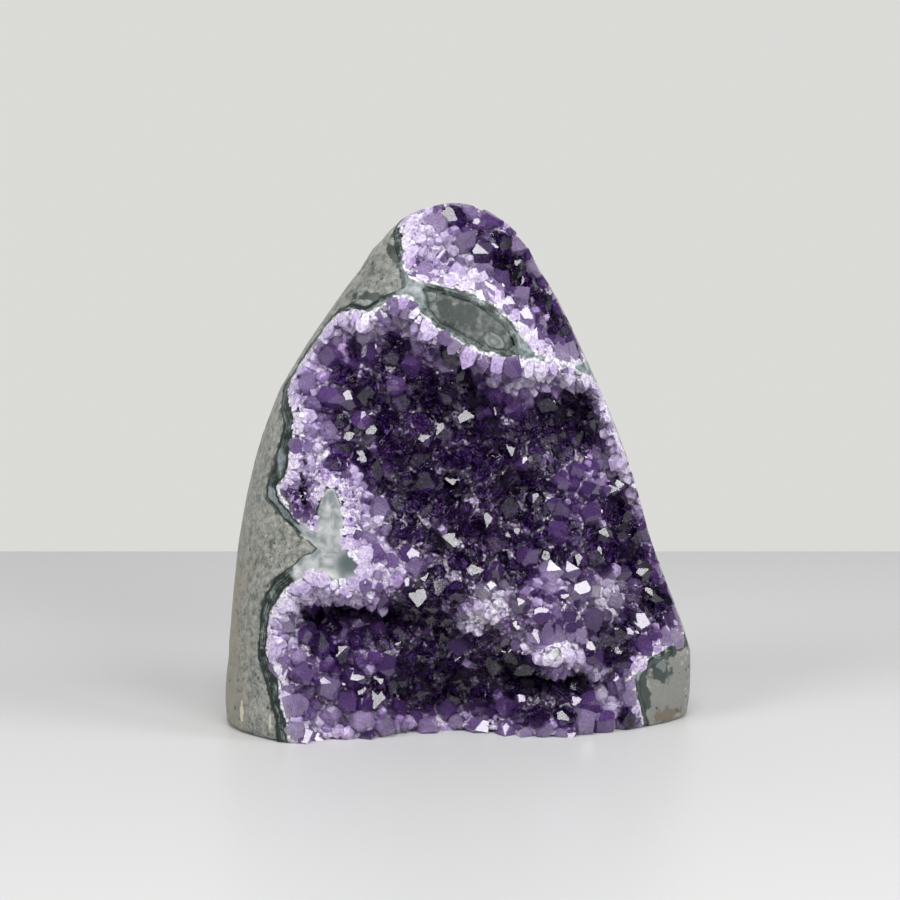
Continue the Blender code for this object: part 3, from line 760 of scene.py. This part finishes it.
def cut_flat(bm, at, outward):
    """Grinds away what is beyond a plane and closes the cut."""
    everything = bm.verts[:] + bm.edges[:] + bm.faces[:]
    cut = bmesh.ops.bisect_plane(bm, geom=everything, plane_co=at, plane_no=outward, clear_outer=True)
    rim = [e for e in cut["geom_cut"] if isinstance(e, bmesh.types.BMEdge)]
    if len(rim) > 2:
        bmesh.ops.contextual_create(bm, geom=rim)


rng = np.random.default_rng(11)
templates = [crystal_template(rng) for _ in range(TEMPLATES)]
pick = rng.choice(len(wall_areas), CANDIDATES, p=wall_areas / wall_areas.sum())
weights = rng.dirichlet((1, 1, 1), CANDIDATES)
places = (wall_points[pick] * weights[:, :, None]).sum(1)
normals = (wall_normals[pick] * weights[:, :, None]).sum(1)
normals /= np.linalg.norm(normals, axis=1, keepdims=True)
pale = paleness(places)
depths = np.array([skin_at(Vector(p))[2] for p in places])
x, z = places[:, 0] / MM, places[:, 2] / MM
# Where the points grew larger, or smaller below zero, as the pale places are given, in shares of their width
LARGER = [
    (-30, 15, 18, 16, 0, 0.45), (37, 56, 4, 5, 0, 1.6), (28, 41, 7, 5, 0, 1.2),
    (16, 124, 10, 12, -50, 0.4), (30, 5, 14, 6, 0, 0.8), (-24, 93, 15, 12, 0, 0.45),
    (-43, 66, 6, 8, 0, -0.5), (22, 24, 8, 5, 0, 0.5), (4, 132, 9, 8, 0, 0.4), (7, 33, 8, 7, 0, -0.35),
    (-36, 61, 7, 10, 0, -0.55), (-31, 64, 7, 6, 0, -0.4), (-30, 39, 10, 5, 0, -0.5),
]
widths = USUAL_WIDTH * np.exp(rng.normal(0, WIDTH_SPREAD, CANDIDATES))
widths = widths * (1 + spot(x, z, LARGER)) * (1 - 0.32 * pale)
widths = np.clip(widths, NARROWEST, WIDEST)
near = kdtree.KDTree(CANDIDATES)
for index, place in enumerate(places):
    near.insert(place, index)
near.balance()
free = np.ones(CANDIDATES, bool)
chosen = []
for index in np.argsort(-widths * rng.uniform(0.7, 1.0, CANDIDATES)):
    if not free[index]:
        continue
    chosen.append(index)
    for _, other, distance in near.find_range(places[index], 2 * CROWDING * widths[index]):
        if distance < CROWDING * (widths[index] + widths[other]):
            free[other] = False
chosen = np.array(chosen)


def ground_flush(body, corners):
    """The crystal without what stands out of the skin or under the base, or None if too little is left."""
    bm = bmesh.new()
    verts = [bm.verts.new(p) for p in body]
    for corner in corners:
        bm.faces.new([verts[c] for c in corner])
    for _ in range(4):
        if not bm.verts:
            break
        near_skin, outward, depth = min((skin_at(v.co) for v in bm.verts), key=lambda found: found[2])
        at_base = outward.z < -0.7
        if depth > (-0.001 * MM if at_base else -0.08 * MM):
            break
        cut_flat(bm, near_skin + outward * (0.0 if at_base else 0.05 * MM), outward)
    if len(bm.faces) < 4:
        bm.free()
        return None
    bmesh.ops.triangulate(bm, faces=bm.faces)
    bm.verts.index_update()
    body = np.array([v.co for v in bm.verts])
    corners = np.array([[v.index for v in f.verts] for f in bm.faces])
    bm.free()
    return body, corners


class Cluster:
    """Crystals of one kind, gathered into one mesh with a tint for each point."""

    def __init__(self):
        self.points, self.corners, self.tints, self.count = [], [], [], 0

    def add(self, body, corners, tints):
        self.points.append(body)
        self.corners.append(corners + self.count)
        self.tints.append(tints)
        self.count += len(body)

    def piece(self, name):
        mesh = bpy.data.meshes.new(name)
        faces = np.concatenate(self.corners).tolist()
        mesh.from_pydata(np.concatenate(self.points).tolist(), [], faces)
        made = bpy.data.objects.new(name, mesh)
        bpy.context.scene.collection.objects.link(made)
        field(made, "tint", np.concatenate(self.tints))
        return made


clusters = {"deep": Cluster(), "violet": Cluster(), "lilac": Cluster(), "milky": Cluster()}
# The darkest and the palest tint of each kind. The less pale milky points shade off to dusky.
TONES = {
    "deep": np.array([(0.50, 0.38, 0.70), (0.86, 0.78, 0.96)]),
    "violet": np.array([(0.095, 0.034, 0.190), (0.260, 0.130, 0.440)]),
    "lilac": np.array([(0.230, 0.125, 0.390), (0.580, 0.450, 0.740)]),
    "milky": np.array([(0.40, 0.295, 0.56), (0.75, 0.695, 0.82)]),
    "dusky": np.array([(0.24, 0.13, 0.37), (0.54, 0.39, 0.70)]),
    "flawed": np.array([(0.32, 0.23, 0.45), (0.68, 0.60, 0.77)]),
}
ROOT_WHITE = np.array([0.86, 0.84, 0.88])
VIOLET_FROM = 0.22  # paleness where deep points give way to violet ones, and those to lilac
LILAC_FROM = 0.42
FLAWED_BELOW = 3.0 * MM  # widths under which a point may be flawed or milky, or is whiter at its foot
MILKY_BELOW = 4.2 * MM
WHITE_BELOW = 2.4 * MM
FLAWED_SHARE = 0.055
# Where the points are greyer, as the pale places are given
GREYER = [
    (8, 33, 11, 8, 0, 0.7), (38, 34, 9, 7, 0, 0.6), (25, 23.5, 2.4, 2.0, 0, 0.6),
    (0, 126, 10, 6, -42, 0.3),
]
grey = spot(x, z, GREYER)
for index in chosen:
    points, corners, height = templates[int(rng.integers(TEMPLATES))]
    width = widths[index]
    reach = USUAL_REACH + REACH_FOR_WIDTH * width + rng.normal(0, 0.3) * MM
    axis = (Vector(normals[index]) + Vector(rng.normal(0, LEAN, 3))).normalized()
    turned = axis.to_track_quat("Z", "Y").to_matrix() @ Matrix.Rotation(rng.uniform(0, math.tau), 3, "Z")
    body = points * width * (rng.uniform(0.85, 1.15), 1.0, 1.0)
    body[:, 2] = np.maximum(body[:, 2] + reach - height * width, -0.4 * MM)
    body = body @ np.array(turned).T + places[index]
    roll, tone = rng.random(2)
    if depths[index] < 3 * width or body[:, 2].min() < 0:
        left = ground_flush(body, corners)
        if left is None:
            continue
        body, corners = left
    shown = pale[index] + rng.normal(0, 0.07)
    flawed = shown < LILAC_FROM and width < FLAWED_BELOW and rng.random() < FLAWED_SHARE
    if flawed or width < MILKY_BELOW and roll < np.interp(shown, (0.34, 0.50, 0.82), (0.0, 0.50, 0.95)):
        kind = "milky"
    else:
        kind = "deep" if shown < VIOLET_FROM else "violet" if shown < LILAC_FROM else "lilac"
    tones = TONES["flawed" if flawed else kind]
    if kind == "milky" and not flawed:
        tones = TONES["dusky"] + (tones - TONES["dusky"]) * np.clip((shown - 0.36) / 0.40, 0, 1)
    above = (body - places[index]) @ np.array(axis) / MM
    whiten = np.clip(1.6 - above, 0, 1)[:, None] * pale[index] * (0.8 if width < WHITE_BELOW else 0.25)
    colour = tones[0] + (tones[1] - tones[0]) * tone
    colour = colour + (colour.mean() - colour) * min(grey[index], 1.0)
    veiled = np.full((len(body), 1), 1.0 if flawed else 0.95 - 0.40 * min(shown, 1.0))
    clusters[kind].add(body, corners, np.hstack([colour + (ROOT_WHITE - colour) * whiten, veiled]))

QUARTZ_IOR = 1.544


def crystal_material(name, transmission, coat, roughness, colour, density):
    """Quartz in the crystals' own tint under bright faces.

    It is clear or clouded, with this violet taken up inside it, or without transmission flawed and mottled.
    """
    made, tree, shader, place = material(name)
    shade = put(tree, "ShaderNodeAttribute", attribute_name="tint")
    tint = shade.outputs["Color"]
    if transmission:
        inside = put(tree, "ShaderNodeVolumeAbsorption", [("Color", (*colour, 1.0)), ("Density", density)])
        tree.links.new(inside.outputs["Volume"], tree.nodes["Material Output"].inputs["Volume"])
    else:
        flaws = noisy(tree, place, 1100.0, 5.0, Roughness=0.7, Distortion=0.6)
        veil = maths(tree, "MULTIPLY", mapped(tree, flaws, 0.58, 0.40), shade.outputs["Alpha"])
        tint = mixed(tree, veil, tint, (0.210, 0.125, 0.320))
        bumped(tree, shader, flaws, 0.5, 0.3 * MM)
    tree.links.new(tint, shader.inputs["Base Color"])
    shader.inputs["Roughness"].default_value = roughness
    shader.inputs["IOR"].default_value = QUARTZ_IOR
    shader.inputs["Transmission Weight"].default_value = transmission
    shader.inputs["Coat Weight"].default_value = coat
    return made


# Transmission, coat, roughness, and the colour and density of the absorption inside
FINISHES = {
    "deep": (1.0, 0.15, 0.06, (0.52, 0.25, 0.68), 480.0),
    "violet": (0.72, 0.7, 0.06, (0.62, 0.33, 0.79), 200.0),
    "lilac": (0.68, 0.7, 0.06, (0.76, 0.58, 0.86), 90.0),
    "milky": (0.0, 0.0, 0.10, None, 0.0),
}
for kind, cluster in clusters.items():
    points_piece = cluster.piece(f"amethyst_{kind}")
    points_piece.data.materials.append(crystal_material(f"{kind}_quartz", *FINISHES[kind]))
    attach(points_piece, "root")
    if kind == "deep":
        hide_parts("amethyst_main", "amethyst_upper")

# ---- Stage ----
# A plain pale table top, with an even pale backdrop beyond its far edge.
FAR_EDGE = 0.26
NEAR_EDGE = -0.9
TABLE_TONE = 0.57
BACKDROP = (0.705, 0.705, 0.685)
MIDDLE = Vector((0, 0, 0.07))  # what the lights are aimed at

bm = bmesh.new()
bmesh.ops.create_grid(bm, x_segments=1, y_segments=1, size=1.0)
for vert in bm.verts:
    vert.co.y = FAR_EDGE if vert.co.y > 0 else NEAR_EDGE
table = piece_from(bm, "table")
pale_top, tree, shader, place = material("pale_table")
shader.inputs["Base Color"].default_value = (TABLE_TONE, TABLE_TONE, TABLE_TONE, 1.0)
shader.inputs["Roughness"].default_value = 0.38
table.data.materials.append(pale_top)

studio = bpy.data.worlds.new("studio")
studio.use_nodes = True
tree = studio.node_tree
outward = put(tree, "ShaderNodeTexCoord").outputs["Generated"]
direction = put(tree, "ShaderNodeSeparateXYZ", [("Vector", outward)])
bright = mapped(tree, direction.outputs["Y"], 0.1, 0.75, 0.12, 0.60)
grey_light = put(tree, "ShaderNodeCombineColor", [("Red", bright), ("Green", bright), ("Blue", bright)])
seen = put(tree, "ShaderNodeLightPath").outputs["Is Camera Ray"]
glow = mixed(tree, seen, grey_light.outputs["Color"], BACKDROP)
tree.links.new(glow, tree.nodes["Background"].inputs["Color"])
bpy.context.scene.world = studio


def panel(name, azimuth, elevation, distance, size, radiance):
    """A soft square light aimed at the geode, as bright to look at as the radiance says."""
    light = bpy.data.lights.new(name, "AREA")
    light.size = size
    light.energy = radiance * math.pi * size**2
    turn, lift = math.radians(azimuth), math.radians(elevation)
    away = Vector((math.sin(turn) * math.cos(lift), -math.cos(turn) * math.cos(lift), math.sin(lift)))
    lamp = bpy.data.objects.new(name, light)
    lamp.location = MIDDLE + away * distance
    lamp.rotation_euler = away.to_track_quat("Z", "Y").to_euler()
    bpy.context.scene.collection.objects.link(lamp)


panel("key", 32, 28, 1.2, 0.42, 10.0)
panel("overhead", -4, 62, 0.9, 0.40, 8.8)
panel("left_window", -56, 36, 1.1, 0.45, 9.0)
panel("right_window", 70, 36, 1.0, 0.38, 9.5)

# ---- Camera ----
# Square to the open cavity, a little higher than the top of the geode and looking slightly down at its middle.
PITCH = math.radians(8)
AIM = Vector((-0.0021, -0.003, 0.074))
DISTANCE = 0.78
lens = bpy.data.cameras.new("camera")
lens.lens = 116.24
lens.sensor_width = 36.0
camera = bpy.data.objects.new("camera", lens)
camera.location = AIM - DISTANCE * Vector((0, math.cos(PITCH), -math.sin(PITCH)))
camera.rotation_euler = (math.pi / 2 - PITCH, 0, 0)
bpy.context.scene.collection.objects.link(camera)
bpy.context.scene.camera = camera
bpy.context.scene.view_settings.view_transform = "Standard"
